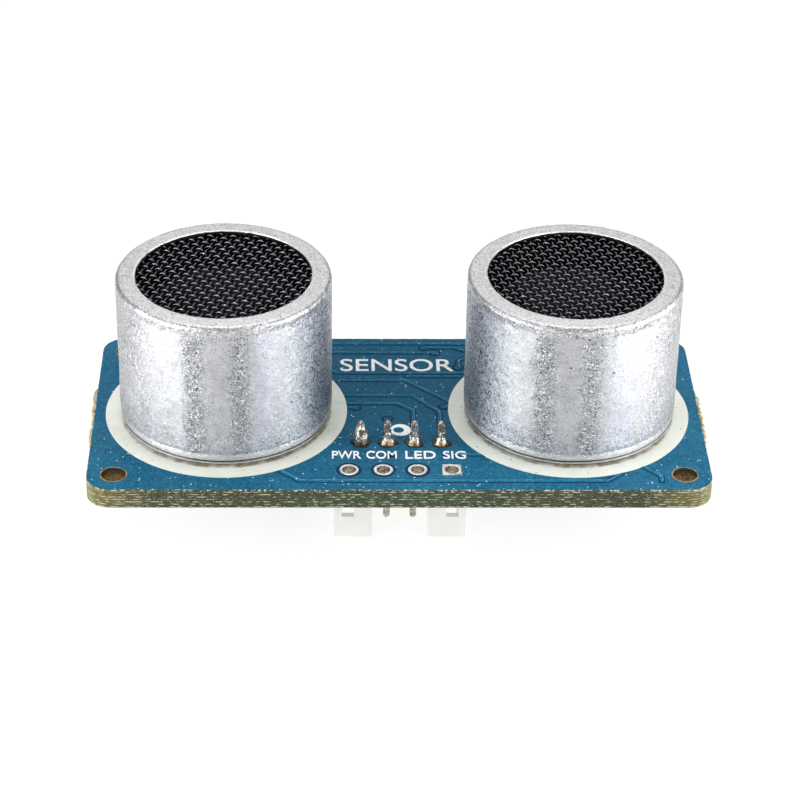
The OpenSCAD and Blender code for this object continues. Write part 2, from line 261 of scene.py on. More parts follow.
def laminate_finish():
    """Sawn glass laminate: olive resin, with rows of pale dashes where the saw cut glass bundles."""
    f = Finish("laminate", Roughness=0.62)
    aside, up = f.off(f.axis("X")), f.axis("Z")
    top, tab = BOARD_TOP / MM, BOARD_HALF_X / MM
    grain = f.remap(f.noise(0.1, 4, rough=0.7, stretch=(3, 3, 1)), 0.36, 0.64)
    ends = f.remap(aside, 18.0, 22.5)
    rows = f.remap(f.math("PINGPONG", up, 0.105), 0.06, 0.09)
    broken = f.math("ADD", f.noise(0.11, 2, rough=0.6, stretch=(4, 4, 1)), f.times(ends, 0.07))
    dashes = f.times(rows, f.remap(broken, 0.545, 0.59))
    flecks = f.times(f.remap(f.noise(0.09, 2), 0.64, 0.7), 0.8)
    border = f.times(f.remap(up, top - 0.2, top - 0.08), f.remap(f.noise(0.22), 0.54, 0.6))
    f.drive("Base Color", f.over(
        f.mix(grain, (15, 17, 6), (58, 61, 28)),
        ((24, 54, 30), f.remap(aside, 12.0, 3.0), 0.55),
        ((114, 105, 42), ends, 0.65),
        (f.mix(grain, (112, 84, 22), (222, 188, 84)), f.remap(aside, tab + 0.01, tab + 0.08)),
        ((178, 180, 154), f.math("MAXIMUM", f.math("MAXIMUM", dashes, flecks), border)),
    ))
    f.grit(0.06, 0.02, 2, f.bump(f.noise(0.2, 5, stretch=(3, 3, 1)), 0.05))
    return f.material


def hole_finish():
    """Drilled laminate lit through its own resin: amber, clouded, darker higher up."""
    f = Finish("hole_wall", Roughness=0.4)
    top = BOARD_TOP / MM
    amber = f.remap(f.noise(0.24, 4, rough=0.7, twist=2.0), 0.42, 0.6)
    upper = f.remap(f.axis("Z"), top - 0.85, top - 0.3)
    f.drive("Base Color", f.over((8, 6, 2), ((188, 136, 18), amber), ((10, 16, 10), upper, 0.9)))
    f.grit(0.14, 0.04)
    return f.material


def disc_finish():
    """Pale printed disc, with scattered brown specks and a thin line round the can's foot, part dirt and
    part painted shade.
    """
    f = Finish("disc_print")
    foot = CAN_RADIUS / MM
    # painted shade and dirt: a thin ragged brownish line just inside the can's foot, in patches
    rag = f.remap(f.noise(0.3, 5, rough=0.7), 0.3, 0.7, -0.05, 0.05)
    line = f.remap(f.math("ADD", radius_from_can(f), rag), foot - 0.03, foot - 0.09)
    f.drive("Base Color", f.over(
        f.mix(f.cloud(3), (214, 217, 206), (228, 231, 222)),
        ((132, 108, 66), line, f.remap(f.noise(0.9), 0.4, 0.6, 0.1, 0.75)),
        ((120, 106, 78), f.specks(0.42, 0.17, 0.1, 1.1, (0.5, 0.56))),
    ))
    f.shine(0.8, 0.45, 0.62)
    f.grit(0.14, 0.006, 4)
    return f.material


def grained(f, metal, amount, grain, shade=(70, 72, 78)):
    """Lays dark and bright flecks over a metal colour, as strong as amount, 0 to 1."""
    dark = f.remap(f.noise(grain, rough=0.7, twist=1.4), 0.49, 0.38)
    bright = f.remap(f.noise(grain * 1.2, 2, rough=0.7, twist=2.0), 0.54, 0.64)
    return f.over(metal, (shade, dark, amount), ((246, 247, 250), bright, amount, 1.1))


def worming(f, grain, width):
    """0 along thin winding scratches and 1 elsewhere."""
    return f.remap(f.off(f.noise(grain, 2, rough=0.6, twist=0.8), 0.5), 0.0, width)


def out_from_can(f):
    """How far a point lies outboard of its own can's axis."""
    return f.math("SUBTRACT", f.off(f.axis("X")), CAN_OUT / MM)


def radius_from_can(f):
    """How far a point lies from its own can's axis."""
    out, along = out_from_can(f), f.axis("Y")
    return f.math("SQRT", f.math("ADD", f.times(out, out), f.times(along, along)))


def turned_rings(f, grain):
    """A value that changes only with the distance from the can's axis, as lathe marks do."""
    inputs = {"W": radius_from_can(f), "Scale": 1 / grain, "Detail": 3.0}
    return f.node("ShaderNodeTexNoise", "Fac", inputs, noise_dimensions="1D")


def beside_can(f):
    """How far a point lies to the right of its own can's axis."""
    return f.math("SUBTRACT", f.axis("X"), f.times(f.math("SIGN", f.axis("X")), CAN_OUT / MM))


def scuffed_reflection_strips(f):
    """1 along two upright strips on each can's front: painted dark reflection bands, where the skin is
    also scuffed.
    """
    between = f.remap(f.axis("X"), -CAN_OUT / MM, CAN_OUT / MM, -0.3, -0.95)
    nearest = f.off(f.off(beside_can(f), between), 1.7)
    ragged = f.math("ADD", nearest, f.remap(f.noise(0.9, 4), 0.3, 0.7, -0.3, 0.3))
    return f.remap(ragged, 1.05, 0.3)


def can_finish():
    """Turned aluminium: grooves run round it, so reflections stretch upright, under dents and pits."""
    f = Finish("can_skin", Metallic=1.0, Anisotropic=0.85, Anisotropic_Rotation=0.25)
    f.drive("Tangent", f.node("ShaderNodeTangent", "Tangent", direction_type="RADIAL", axis="Z"))
    out, up, foot = out_from_can(f), f.axis("Z"), CAN_FOOT / MM

    # where the metal is worn, and painted reflections: lighter inboard and in a band right of each axis,
    # darker in two upright strips, and blue flecks low down and inboard mirroring the board
    strips, inboard = scuffed_reflection_strips(f), f.remap(out, -4.4, -6.4)
    sides = f.times(f.remap(f.off(out), 4.6, 6.6, 0.0, 0.95), f.remap(f.noise(2.4), 0.36, 0.6, 0.4, 1.0))
    low = f.times(f.remap(up, 5.2, 2.8), f.remap(out, -1.0, -3.0, 0.55, 1.0))
    amount = f.math("MAXIMUM", f.math("MAXIMUM", strips, sides), f.times(low, 0.85))
    # painted reflection: flecks turn blue low down and inboard, mirroring the board
    shade = f.mix(f.math("MAXIMUM", inboard, low), (62, 63, 68), (40, 84, 136))
    metal = f.over(
        f.mix(f.cloud(2.6), (188, 189, 192), (204, 205, 207)),
        # painted reflection: the inboard side of each can is lighter
        ((236, 240, 246), inboard, 0.9),
        # painted reflection: two darker upright strips on each can's front
        ((150, 151, 154), strips, 0.62),
        # painted reflection: a lighter upright band right of each can's axis
        ((207, 209, 222), f.remap(f.off(beside_can(f), 3.1), 1.3, 0.3), 0.6),
    )
    metal = grained(f, metal, f.remap(amount, 0.0, 1.0, 0.32, 1.0), 0.2, shade)

    # scratches, hatching on the inboard flank in a painted blue reflection, painted dark-blue shade flecks
    # at the inboard edge, pits, a painted reflection of the pale disc on the bead and a dark line along
    # the groove under it
    scratches, hatch = worming(f, 0.5, 0.02), f.remap(worming(f, 0.4, 0.06), 0.34, 0.5)
    flank = f.remap(out, -5.0, -6.8, 0.0, 0.9)
    flecks = f.remap(f.noise(0.2, rough=0.7, twist=1.5), 0.57, 0.51)
    f.drive("Base Color", f.over(
        metal,
        ((84, 85, 90), f.math("SUBTRACT", 1.0, scratches), f.remap(amount, 0.0, 1.0, 0.15, 0.9)),
        # painted reflection: the inboard hatching takes the blue of the board
        ((30, 62, 100), f.math("SUBTRACT", 1.0, hatch), flank),
        # painted shade: dark blue flecks along the inboard edge
        ((26, 44, 74), f.remap(out, -6.4, -7.6, 0.0, 0.55), flecks),
        ((70, 66, 62), f.specks(1.3, 0.09, 0.04, 2.0, (0.5, 0.56))),
        # painted reflection: the bead is lighter, mirroring the pale disc
        ((216, 217, 217), f.remap(up, foot + 0.86, foot + 0.7), 0.6),
        ((60, 57, 52), f.remap(f.off(up, foot + 0.2), 0.1, 0.03, 0.0, 0.9)),
    ))
    f.drive("Roughness", f.remap(f.noise(0.5, 6, rough=0.65, twist=1.2), 0.3, 0.7, 0.3, 0.46))
    rough = f.remap(amount, 0.0, 1.0, 0.3, 0.85)
    relief = f.bump(hatch, 0.1, f.bump(f.noise(1.1, rough=0.5), 0.05), flank)
    relief = f.bump(f.noise(0.3, 4, rough=0.6, twist=1.8), 0.08, relief, rough)
    relief = f.bump(scratches, 0.03, relief, rough)
    f.drive("Normal", f.bump(f.noise(0.15, 2, twist=1.4), 0.04, relief, rough))
    return f.material


def rim_finish():
    """The can's turned-in rim: same metal, finer and flatter, with painted highlights towards the front
    and along its lip.
    """
    f = Finish("can_rim", Metallic=1.0)
    opening = CAN_OPENING / MM
    rings = f.times(turned_rings(f, 0.07), f.remap(f.noise(1.2, 4), 0.35, 0.65, 0.6, 1.1))
    metal = f.over(
        f.mix(f.noise(0.8, 5), (186, 187, 188), (204, 205, 206)),
        # painted highlight: lighter towards the front
        ((232, 232, 231), f.remap(f.axis("Y"), -2.0, -7.0, 0.0, 0.8)),
        ((222, 223, 224), f.remap(rings, 0.56, 0.44, 0.0, 0.5)),
    )
    # painted highlight: a near-white line along the lip, in patches
    lip = f.remap(radius_from_can(f), opening + 0.17, opening + 0.07)
    patchy = f.remap(f.noise(0.7), 0.38, 0.6, 0.2, 0.85)
    f.drive("Base Color", f.over(grained(f, metal, 0.62, 0.18), ((250, 250, 250), lip, patchy)))
    f.shine(0.4, 0.36, 0.5, 4)
    f.grit(0.18, 0.028, 4)
    return f.material


def worn_finish():
    """Bright chipped metal along the can's top edge."""
    f = Finish("can_worn_edge", Metallic=1.0)
    metal = f.mix(f.noise(0.4, 5), (158, 159, 161), (200, 200, 202))
    f.drive("Base Color", grained(f, metal, 0.85, 0.22, (78, 79, 83)))
    f.shine(0.3, 0.34, 0.55, 4)
    f.grit(0.14, 0.025, under=f.bump(f.noise(0.45, 4, rough=0.6), 0.06))
    return f.material


def wire_finish():
    """Blackened wire, lighter on the crowns of the weave as a painted highlight and dark below as painted
    shade, with bare brass and painted glints.
    """
    f = Finish("black_wire", Metallic=0.9)
    screen = SCREEN_Z / MM
    # painted glints: sparse white spots on the crowns
    bared, painted_glint = f.remap(f.noise(0.9, 5), 0.6, 0.7), f.remap(f.noise(0.14, 1), 0.66, 0.7)
    crown = f.over((146, 148, 157), ((186, 168, 146), bared), ((255, 255, 255), painted_glint))
    # painted highlight on the crowns and painted shade lower down, by height above the screen
    f.drive("Base Color", f.mix(f.remap(f.axis("Z"), screen + 0.02, screen + 0.18), (24, 25, 28), crown))
    f.shine(0.3, 0.2, 0.34)
    f.grit(0.08, 0.01)
    return f.material


def solder_finish():
    """Solder streaked with burnt flux, amber towards its foot."""
    f = Finish("solder", Coat_Weight=0.4, Coat_Roughness=0.15)
    top = BOARD_TOP / MM
    height = f.remap(f.axis("Z"), top, top + 0.5)
    stain = f.remap(f.math("SUBTRACT", f.remap(f.noise(0.35, 4), 0.3, 0.6), height), 0.0, 0.5)
    burnt = f.remap(f.noise(0.26, 4, rough=0.7, twist=1.0, stretch=(1, 1, 2)), 0.5, 0.58)
    bright = f.mix(f.noise(0.3, 4), (176, 168, 156), (236, 231, 222))
    f.drive("Base Color", f.over(bright, ((38, 28, 22), burnt, 0.95), ((118, 88, 34), stain)))
    f.drive("Metallic", f.remap(stain, 0.0, 1.0, 1.0, 0.75))
    f.shine(0.2, 0.14, 0.34)
    f.grit(0.16, 0.05, 4)
    return f.material


def pin_finish():
    """Tarnished tin plating on the plug's contacts."""
    f = Finish("plated_pin", Metallic=1.0)
    tin = f.mix(f.noise(0.5, 4), (146, 130, 114), (202, 188, 170))
    f.drive("Base Color", grained(f, tin, 0.75, 0.3, (46, 42, 40)))
    f.shine(0.25, 0.18, 0.36)
    f.grit(0.16, 0.03)
    return f.material


def flux_finish():
    """Burnt flux, a nearly black glaze round each joint."""
    f = Finish("flux", Roughness=0.2, Specular_IOR_Level=0.25)
    f.drive("Base Color", f.mix(f.remap(f.noise(0.3, 4), 0.56, 0.68), (8, 10, 14), (66, 44, 14)))
    f.grit(0.12, 0.03)
    return f.material


def print_finish():
    """White print, worn through to the mask in fine specks."""
    f = Finish("white_print", Roughness=0.5)
    white = f.mix(f.noise(0.5, 4), (238, 240, 238), (252, 253, 252))
    worn = f.remap(f.noise(0.17, rough=0.7), 0.6, 0.68)
    f.drive("Base Color", f.over(white, ((52, 98, 128), worn, 0.7)))
    f.grit(0.08, 0.006)
    return f.material


MAT = {
    "mask": mask_finish("solder_mask"), "track": mask_finish("masked_copper", lift=10),
    "laminate": laminate_finish(), "hole": hole_finish(), "disc": disc_finish(), "print": print_finish(),
    "can": can_finish(), "rim": rim_finish(), "worn": worn_finish(), "wire": wire_finish(),
    "solder": solder_finish(), "flux": flux_finish(), "pin": pin_finish(),
}

# material name, darker and lighter colour, patch size, roughness range, grain size and grain depth
PLAIN = {
    "gap": ("mask_over_resin", (6, 38, 70), (14, 56, 92), 1.2, (0.35, 0.5), 0.2, 0.004),
    # painted highlight along one side of each track
    "edge": ("track_edge_highlight", (30, 124, 150), (78, 172, 188), 0.6, (0.3, 0.4), 0.2, 0.004),
    "fibre": ("torn_fibre", (140, 104, 26), (230, 198, 98), 0.2, (0.5, 0.8), 0.05, 0.02),
    "bare": ("bare_laminate", (84, 66, 26), (168, 144, 78), 0.3, (0.5, 0.7), 0.1, 0.01),
    "barrel": ("plated_barrel", (146, 142, 134), (250, 246, 238), 0.18, (0.2, 0.4), 0.12, 0.02),
    # painted shade: the inside of the can is near black
    "can_inside": ("can_inside", (9, 9, 10), (20, 20, 22), 0.6, (0.5, 0.65), 0.2, 0.02),
    "tinned": ("tinned_copper", (204, 201, 194), (240, 238, 233), 0.5, (0.18, 0.34), 0.12, 0.01),
    "nylon": ("white_nylon", (194, 193, 189), (203, 202, 198), 3.0, (0.4, 0.52), 0.25, 0.006),
    # painted shade: the aluminium horn inside the can is darkened
    "aluminium": ("shaded_horn_metal", (30, 31, 35), (46, 47, 52), 1.5, (0.35, 0.5), 0.15, 0.008),
    "brass": ("rolled_brass", (176, 150, 88), (204, 180, 116), 1.5, (0.25, 0.4), 0.15, 0.008),
    "ceramic": ("fired_ceramic", (206, 198, 176), (226, 220, 204), 1.0, (0.6, 0.8), 0.08, 0.01),
    "silicone": ("silicone", (214, 214, 210), (232, 232, 228), 1.0, (0.35, 0.5), 0.3, 0.02),
    "moulding": ("phenolic_moulding", (34, 28, 25), (52, 44, 38), 1.2, (0.5, 0.7), 0.1, 0.01),
    "red_wire": ("red_insulation", (138, 24, 20), (172, 38, 30), 1.0, (0.35, 0.5), 0.15, 0.006),
    "epoxy": ("chip_epoxy", (26, 26, 28), (40, 40, 43), 0.8, (0.5, 0.68), 0.07, 0.008),
    "led_white": ("led_housing", (226, 226, 218), (240, 240, 234), 1.0, (0.35, 0.5), 0.1, 0.004),
    "led_gel": ("led_gel", (206, 196, 146), (226, 216, 170), 0.5, (0.1, 0.2), 0.2, 0.004),
    "resistor": ("resistor_glaze", (22, 24, 28), (36, 38, 42), 0.5, (0.2, 0.35), 0.1, 0.004),
    "capacitor": ("capacitor_ceramic", (148, 112, 76), (178, 140, 98), 0.5, (0.4, 0.6), 0.07, 0.006),
    "bulk": ("bulk_capacitor_ceramic", (132, 104, 74), (160, 130, 96), 0.6, (0.4, 0.6), 0.08, 0.006),
    "crystal": ("crystal_ceramic", (196, 190, 176), (214, 208, 196), 0.6, (0.5, 0.65), 0.08, 0.006),
}
SOCKETS = {
    "gap": {"Specular_IOR_Level": 0.06}, "edge": {"Specular_IOR_Level": 0.1},
    "led_gel": {"Coat_Weight": 0.5},
    "barrel": {"Metallic": 1.0}, "tinned": {"Metallic": 1.0}, "brass": {"Metallic": 1.0},
    "aluminium": {"Metallic": 0.9}, "can_inside": {"Metallic": 0.3},
    # painted light: the nylon glows a little, lifting its shade
    "nylon": {"Emission_Color": srgb(255, 254, 250), "Emission_Strength": 0.2,
              "Subsurface_Weight": 0.6, "Subsurface_Radius": (0.003, 0.003, 0.003)},
}
for key, values in PLAIN.items():
    MAT[key] = finish(*values, **SOCKETS.get(key, {}))


# ---- mesh helpers ----

WELD = 0.0005 * MM


def spread(start, end, count):
    """Numbers from start to end in equal steps, both included."""
    return [start + (end - start) * k / count for k in range(count + 1)]


def heading(angle, z=0.0):
    return Vector((math.cos(angle), math.sin(angle), z))


def lumps(point, grain, shift=Vector((0, 0, 0))):
    """Smooth noise at a point, about -1 to 1, in lumps of a size given in millimetres."""
    return noise.noise(point / (grain * MM) + shift)


def adopt(piece, slot, *nodes):
    """Makes a piece ride on the body and stand for CAD nodes. The slot is not used."""
    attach(piece, BODY)
    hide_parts(*nodes)


def placed(name, data):
    """A new object of the scene that shows a mesh, curve, light or camera."""
    piece = bpy.data.objects.new(name, data)
    bpy.context.scene.collection.objects.link(piece)
    return piece


def solid(name, shape, materials, paint=None, smooth=True):
    """A mesh object from (vertices, faces). paint(face centre, normal) picks a face's material."""
    verts, faces = shape
    mesh = bpy.data.meshes.new(name)
    mesh.from_pydata([tuple(v) for v in verts], [], faces)
    for material in materials:
        mesh.materials.append(MAT[material])
    bm = bmesh.new()
    bm.from_mesh(mesh)
    bmesh.ops.remove_doubles(bm, verts=bm.verts, dist=WELD)
    bmesh.ops.recalc_face_normals(bm, faces=bm.faces)
    for face in bm.faces:
        face.smooth = smooth
        if paint:
            face.material_index = paint(face.calc_center_median(), face.normal)
    bm.to_mesh(mesh)
    bm.free()
    return placed(name, mesh)


def crisp(piece, degrees=35):
    """Keeps edges sharper than this angle hard, and shades the rest smoothly."""
    piece.data.set_sharp_from_angle(angle=math.radians(degrees))
    return piece


def joined(parts):
    """Several (vertices, faces) pairs as one."""
    verts, faces = [], []
    for more_verts, more_faces in parts:
        start = len(verts)
        verts += more_verts
        faces += [tuple(start + i for i in face) for face in more_faces]
    return verts, faces


def board_piece(name, parts, *materials, paint=None, slot="board", node="circuit_board"):
    """Parts of the board as one piece, with their sharp edges kept hard."""
    adopt(crisp(solid(name, joined(parts), materials, paint)), slot, node)


def lathe(profile, turns, centre, warp=None, closed=True):
    """Vertices and faces of an (r, z) outline turned about the upright axis through centre."""
    verts, faces = [], []
    count = len(profile)
    for k in range(turns):
        angle = 2 * math.pi * k / turns
        for r, z in profile:
            point = Vector((centre[0] + r * math.cos(angle), centre[1] + r * math.sin(angle), z))
            verts.append(warp(point, angle) if warp else point)
    for k in range(turns):
        for j in range(count if closed else count - 1):
            a, b = k * count + j, k * count + (j + 1) % count
            c, d = (k + 1) % turns * count + (j + 1) % count, (k + 1) % turns * count + j
            faces.append((a, b, c, d))
    return verts, faces


def mitre(before, here, after, least):
    """Points to a corner's left, and is as long as a mitre is for each unit of width."""
    first = (Vector(here) - Vector(before)).normalized()
    second = (Vector(after) - Vector(here)).normalized()
    normal = Vector((-first.y - second.y, first.x + second.x)).normalized()
    return normal / max(least, normal.dot(Vector((-first.y, first.x))))


def inward(loop, distance):
    """Moves a closed loop into the material on its left by a distance."""
    return [
        Vector(here) + mitre(loop[k - 1], here, loop[(k + 1) % len(loop)], 0.5) * distance
        for k, here in enumerate(loop)
    ]


def slab(outlines, profile, warp=None):
    """A flat plate with rounded edges, from closed outlines and (z, inset) rings from low to high.

    The outer outline runs counter-clockwise and holes run clockwise.
    """
    bm = bmesh.new()
    rims = {0: [], len(profile) - 1: []}
    for loop in outlines:
        rings = []
        for z, inset in profile:
            points = [Vector((p[0], p[1], z)) for p in inward(loop, inset)]
            rings.append([bm.verts.new(warp(p) if warp else p) for p in points])
        for low, high in zip(rings, rings[1:]):
            for k in range(len(loop)):
                n = (k + 1) % len(loop)
                bm.faces.new((low[k], low[n], high[n], high[k]))
        for index, edges in rims.items():
            ring = rings[index]
            edges += [bm.edges.get((ring[k - 1], ring[k])) for k in range(len(ring))]
    for edges in rims.values():
        bmesh.ops.triangle_fill(bm, use_beauty=True, edges=edges)
    bm.verts.index_update()
    verts = [v.co.copy() for v in bm.verts]
    faces = [tuple(v.index for v in f.verts) for f in bm.faces]
    bm.free()
    return verts, faces


def raised(loops, height, side):
    """A low strip with sloped edges on the board's top, or hanging under it."""
    sunk, slope = 0.002 * MM, min(0.4 * height, 0.04 * MM)
    rings = [(-sunk, 0.0), (0.3 * height, 0.0), (height, slope + 0.02 * MM)]
    if side == "top":
        return slab(loops, [(BOARD_TOP + rise, inset) for rise, inset in rings])
    return slab(loops, [(-rise, inset) for rise, inset in reversed(rings)])


def circle(x, y, r, steps=32, hole=False):
    turn = -1 if hole else 1
    angles = [turn * 2 * math.pi * k / steps for k in range(steps)]
    return [(x + r * math.cos(a), y + r * math.sin(a)) for a in angles]


def ribbon(points, width):
    """The outline of a stroke through the points, with mitred corners and round ends."""
    path = [Vector(p) for p in points]
    half, cap_steps = width / 2, 5
    left = [mitre(*path[k - 1:k + 2], 0.4) * half for k in range(1, len(path) - 1)]
    leftward = [p + reach for p, reach in zip(path[1:], left)]
    rightward = [p - reach for p, reach in zip(path[1:], left)]

    def cap(at, direction):
        start = math.atan2(direction.y, direction.x) - math.pi / 2
        return [at + heading(a).xy * half for a in spread(start, start + math.pi, cap_steps)]

    tail = cap(path[0], path[0] - path[1])
    head = cap(path[-1], path[-1] - path[-2])
    return tail + rightward + head + leftward[::-1]


def softened(name, node, slot, material, width):
    """A copy of a CAD node with its sharp edges rounded, as moulded, stamped or fired parts have."""
    bm = bmesh.new()
    bm.from_mesh(frame["nodes"][node].data)
    bmesh.ops.remove_doubles(bm, verts=bm.verts, dist=2 * WELD)
    bmesh.ops.dissolve_limit(bm, angle_limit=math.radians(1), verts=bm.verts, edges=bm.edges)
    for face in bm.faces:
        face.smooth = False
    sharp = [e for e in bm.edges if len(e.link_faces) == 2 and e.calc_face_angle() > math.radians(40)]
    rounded = bmesh.ops.bevel(bm, geom=sharp, offset=width * MM, offset_type="OFFSET", segments=2,
                              profile=0.5, affect="EDGES", clamp_overlap=True)
    for face in rounded["faces"]:
        face.smooth = True
    mesh = bpy.data.meshes.new(name)
    bm.to_mesh(mesh)
    bm.free()
    mesh.materials.append(MAT[material])
    adopt(placed(name, mesh), slot, node)


def mm(points):
    return [(x * MM, y * MM) for x, y in points]


# ---- circuit board ----

MASK_T = 0.035 * MM
PRINT_H = 0.045 * MM


def board_outline(torn):
    """The board's edge, counter-clockwise in short steps, with its snapped tabs ragged if torn."""
    step, corner_steps = 0.3 * MM, 8
    ragged = random.Random(5)
    points = []
    for quarter, (sx, sy) in enumerate(((1, 1), (-1, 1), (-1, -1), (1, -1))):
        cx, cy = sx * (BOARD_HALF_X - CORNER_R), sy * (BOARD_HALF_Y - CORNER_R)
        for turn in spread(quarter, quarter + 1, corner_steps):
            a = math.pi / 2 * turn
            points.append(Vector((cx + CORNER_R * math.cos(a), cy + CORNER_R * math.sin(a))))
    dense = []
    for here, after in zip(points, points[1:] + points[:1]):
        pieces = max(1, round((after - here).length / step))
        dense += [here.lerp(after, k / pieces) for k in range(pieces)]
    if torn:
        for p in dense:
            if abs(p.x) > BOARD_HALF_X - 0.001 * MM and TAB_Y[0] < p.y < TAB_Y[1]:
                p.x += math.copysign(TAB_OUT * ragged.uniform(0.25, 0.95), p.x)
    return dense


def board_holes(pad_r, contact_r, terminal_r):
    drilled = ((HOLE_AT, HOLE_R, 32), (PAD_AT, pad_r, 32), (CONTACT_AT, contact_r, 20),
               (TERMINAL_AT, terminal_r, 20))
    return [circle(x, y, r, steps, hole=True) for spots, r, steps in drilled for x, y in spots]


def near(point, spots, reach):
    return any((point.xy - Vector(at)).length < reach for at in spots)


def make_board_core():
    """The glass laminate, with a rough sawn edge and plain drilled holes."""
    layers, around_hole = 8, HOLE_R + 0.2 * MM
    profile = [(z, 0.0) for z in spread(MASK_T / 2, BOARD_TOP - MASK_T / 2, layers)]

    def saw(point):
        outward = Vector((point.x / BOARD_HALF_X, point.y / BOARD_HALF_Y, 0))
        if near(point, HOLE_AT, around_hole) or max(abs(outward.x), abs(outward.y)) < 0.95:
            return point
        tab = abs(point.x) > BOARD_HALF_X and TAB_Y[0] < point.y < TAB_Y[1]
        depth = (0.16 if tab else 0.02) * MM
        rough = lumps(point, 0.35) + 0.5 * lumps(point, 0.12)
        return point - outward.normalized() * depth * (0.5 + 0.5 * rough)

    def paint(centre, normal):
        return 1 if near(centre, HOLE_AT, around_hole) and abs(normal.z) < 0.5 else 0

    outlines = [board_outline(torn=True)] + board_holes(0.66 * MM, 0.42 * MM, 0.45 * MM)
    board_piece("board_core", [slab(outlines, profile, warp=saw)], "laminate", "hole", paint=paint)


def make_mask(side):
    """One side's solder mask, set back a hair from the sawn edge and the holes."""
    name = f"board_mask_{side}"
    chip = random.Random(name)
    edge = [
        Vector((p.x * (1 - chip.uniform(0.0, 0.0028)), p.y * (1 - chip.uniform(0.0, 0.005))))
        for p in board_outline(torn=False)
    ]
    soft = 0.012 * MM
    profile = [(0.0, soft), (soft, 0.0), (MASK_T, 0.0)]
    if side == "top":
        profile = [(BOARD_TOP - MASK_T, 0.0), (BOARD_TOP - soft, 0.0), (BOARD_TOP, soft)]
    outlines = [edge] + board_holes(0.68 * MM, 0.46 * MM, 0.5 * MM)
    board_piece(name, [slab(outlines, profile)], "mask")


def torn_strand(tear, side):
    """One glass strand that stands out of a snapped tab, thinner at its tip."""
    root = Vector((side * (BOARD_HALF_X + tear.uniform(-0.02, 0.1) * MM),
                   tear.uniform(TAB_Y[0], TAB_Y[1]),
                   tear.uniform(0.1 * MM, BOARD_TOP - 0.08 * MM)))
    lean = Vector((side, tear.uniform(-0.7, 0.7), tear.uniform(-0.35, 0.35)))
    reach = tear.uniform(0.08, 0.24) * MM
    tip = root + lean.normalized() * reach
    across = Vector((0, 1, 0)) * tear.uniform(0.03, 0.08) * MM
    upright = Vector((0, 0, 1)) * tear.uniform(0.015, 0.035) * MM
    section = (-across, -upright, across, upright)
    verts = [root + corner for corner in section] + [tip + corner * 0.4 for corner in section]
    sides = [(k, (k + 1) % 4, 4 + (k + 1) % 4, 4 + k) for k in range(4)]
    return verts, sides + [(3, 2, 1, 0), (4, 5, 6, 7)]


def make_torn_fibres():
    """Glass strands that stand out of both snapped tabs."""
    tear = random.Random(11)
    strands = [torn_strand(tear, side) for side in (-1, 1) for _ in range(150)]
    adopt(solid("board_torn_fibres", joined(strands), ["fibre"], smooth=False), "board", "circuit_board")


TRACK_W = 0.24 * MM
GAP_W = 0.5 * MM
TRACK_H = 0.03 * MM
GAP_H = 0.004 * MM
VIA_R = 0.3 * MM

PIN_3, PIN_4 = [(at[0] / MM, at[1] / MM) for at in CONTACT_AT[2:]]

# tracks and vias in millimetres
TOP_TRACKS = [
    [(-19, 9.85), (19.2, 9.85)],
    [(-10, 8.5), (3.1, 8.5)],
    [(2.25, 9.25), (4.6, 9.25), (5.4, 8.8), (12, 8.8)],
    [(4.85, 6.3), (4.9, 7.3), (5.9, 8.1), (9, 8.1)],
    [(-10, 6.4), (-5.6, 6.4), (-4.7, 5.45), (9, 5.45)],
    [(0.8, 4.95), (9, 4.95)],
    [(-10, 4.35), (0.65, 4.35), (4.4, 0.9), (7, -1.5)],
    [(-10, 2.15), (1.1, 2.15), (PIN_4[0], -0.15), PIN_4],
    [(-10, 1.0), (0.0, 1.0), (PIN_3[0], 0.0), PIN_3],
    [(-6, 0.55), (-3.2, 0.4)],
    [(3.55, 0.6), (6, 0.6)],
    [(3.4, -6.05), (9, -6.05)],
    [(-10.6, -6.7), (-7.35, -9.55), (15.2, -9.55), (17.6, -7.4)],
    [(17.8, -7.5), (19.2, -8.9), (19.2, -9.6)],
]
TOP_VIAS = [(2.25, 9.25), (3.1, 8.5), (4.85, 6.3), (-3.2, 0.4), (-0.8, -1.15), (3.55, 0.6), (-8.4, 9.2),
            (20.1, 4.6), (-20.4, 5.8), (19.6, -1.0)]
UNDER_TRACKS = [
    [(-4.5, 3.6), (-4.5, 1.2), (-2.85, -0.6), (-2.85, -4.4)],
    [(-1.9, 2.2), (-1.9, 0.6), (-0.85, -0.4), (-0.85, -4.4)],
    [(0.65, 2.2), (0.65, 0.4), (1.15, -0.1), (1.15, -4.4)],
    [(3.2, 2.2), (3.2, 0.2), (3.15, -4.4)],
    [(4.4, 2.2), (4.4, 1.0), (6.5, -1.0), (9.6, -1.0)],
    [(-4.4, 7.2), (-4.4, 9.6), (-19.5, 9.6)],
    [(4.4, 7.2), (4.4, 9.7), (19.5, 9.7)],
    [(-9.9, 3.4), (-8.4, 3.4), (-6.2, 5.6), (-5.2, 5.6)],
    [(-21.8, 3.2), (-21.8, -6.4)],
    [(21.8, 3.2), (21.8, -6.4)],
    [(-17.4, -9.8), (-3.8, -9.8), (-3.8, -8.1)],
    [(3.9, -8.1), (3.9, -9.8), (17.4, -9.8)],
    [(8.2, 2.6), (6.2, 4.6), (5.2, 4.6)],
]
UNDER_VIAS = TOP_VIAS[:6] + [(-21.8, 3.2), (21.8, 3.2), (6.5, -1.0), (-8.4, 3.4), (9.4, 3.3), (-6.4, -2.2)]


def clear_of(points, blockers, reach):
    """Cuts the ends of a track back so that it stops at the pads it runs into."""
    path = [Vector(p) for p in points]
    for end, inner in ((0, 1), (-1, -2)):
        if any((path[end] - Vector(at)).length < 0.05 * MM for at in blockers):
            path[end] = path[end] + (path[inner] - path[end]).normalized() * reach
    return path


